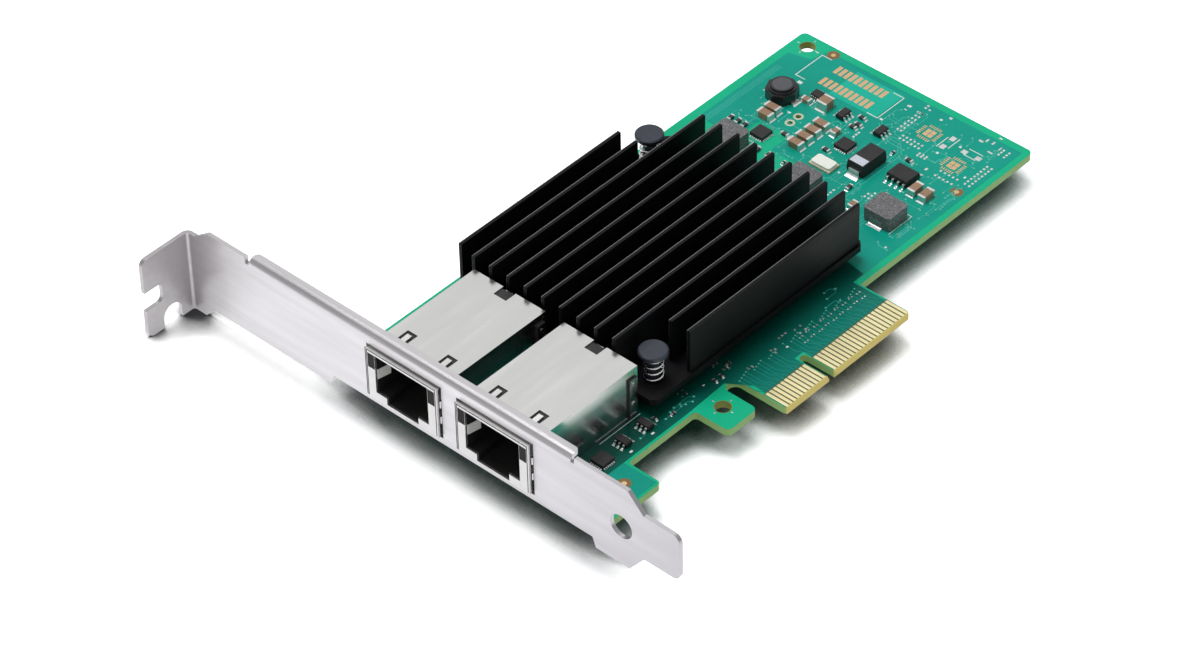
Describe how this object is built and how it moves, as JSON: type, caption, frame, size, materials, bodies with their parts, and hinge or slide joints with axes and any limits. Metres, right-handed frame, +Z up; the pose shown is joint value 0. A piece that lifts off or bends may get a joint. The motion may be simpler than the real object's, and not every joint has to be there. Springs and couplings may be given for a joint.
{
  "type": "network interface card",
  "caption": "Flat expansion card with two network sockets behind a folded metal mounting bracket, a finned black heatsink and gold edge contacts.",
  "frame": {"origin": "middle of the card's outline, at the height of its lowest point", "axes": "+X along the board away from the bracket, +Y from the edge contacts to the bracket's folded end, +Z up from the component side"},
  "size_m": [0.1418, 0.12, 0.0206],
  "materials": {
    "solder_mask": "satin green board with clear lacquer",
    "gold": "gold plated",
    "bracket_steel": "satin nickel-plated sheet",
    "bright_steel": "zinc-plated",
    "black_aluminium": "black anodised",
    "grey_pad": "soft filled pad",
    "substrate": "green laminate",
    "black_moulding": "matt moulding",
    "grey_ferrite": "pressed iron powder",
    "black_ferrite": "ferrite drum",
    "tinned_metal": "tinned",
    "ceramic_cream": "fired ceramic",
    "pale_metal": "satin lid",
    "brown_ceramic": "fired ceramic",
    "dark_ceramic": "fired ceramic",
    "tinned_shield": "bright tinned sheet",
    "black_housing": "matt moulding",
    "smoked_lens": "smoked light pipe",
    "slate_plastic": "satin moulding",
    "spring_steel": "bright wire"
  },
  "bodies": {
    "root": {"bracket_screws": "bright_steel", "bulk_capacitor_bodies": "brown_ceramic", "bulk_capacitor_end_caps": "tinned_metal", "circuit_board": "solder_mask", "controller_package": "black_moulding", "controller_substrate": "substrate", "crystal_base": "ceramic_cream", "crystal_lid": "pale_metal", "drum_inductor": "black_ferrite", "edge_contacts_component_side": "gold", "edge_contacts_solder_side": "gold", "heatsink": "black_aluminium", "large_capacitor_bodies": "brown_ceramic", "large_capacitor_end_caps": "tinned_metal", "memory_chip": "black_moulding", "memory_chip_leads": "tinned_metal", "mid_capacitor_bodies": "brown_ceramic", "mid_capacitor_end_caps": "tinned_metal", "mounting_bracket": "bracket_steel", "port_1_contacts": "gold", "port_1_housing": "black_housing", "port_1_magnetics": "black_housing", "port_1_shield": "tinned_shield", "port_1_solder_pins": "tinned_metal", "port_1_status_lights": "smoked_lens", "port_2_contacts": "gold", "port_2_housing": "black_housing", "port_2_magnetics": "black_housing", "port_2_shield": "tinned_shield", "port_2_solder_pins": "tinned_metal", "port_2_status_lights": "smoked_lens", "power_converters": "black_moulding", "power_inductor_terminals": "tinned_metal", "power_inductors": "grey_ferrite", "push_pin_1": "slate_plastic", "push_pin_2": "slate_plastic", "push_pin_spring_1": "spring_steel", "push_pin_spring_2": "spring_steel", "small_chip_bodies": "dark_ceramic", "small_chip_end_caps": "tinned_metal", "small_regulator_leads": "tinned_metal", "small_regulators": "black_moulding", "supervisor_chip": "black_moulding", "supervisor_chip_leads": "tinned_metal", "tantalum_capacitor": "black_moulding", "tantalum_terminals": "tinned_metal", "thermal_pad": "grey_pad", "tiny_chip_bodies": "dark_ceramic", "tiny_chip_end_caps": "tinned_metal"}
  },
  "joints": []
}
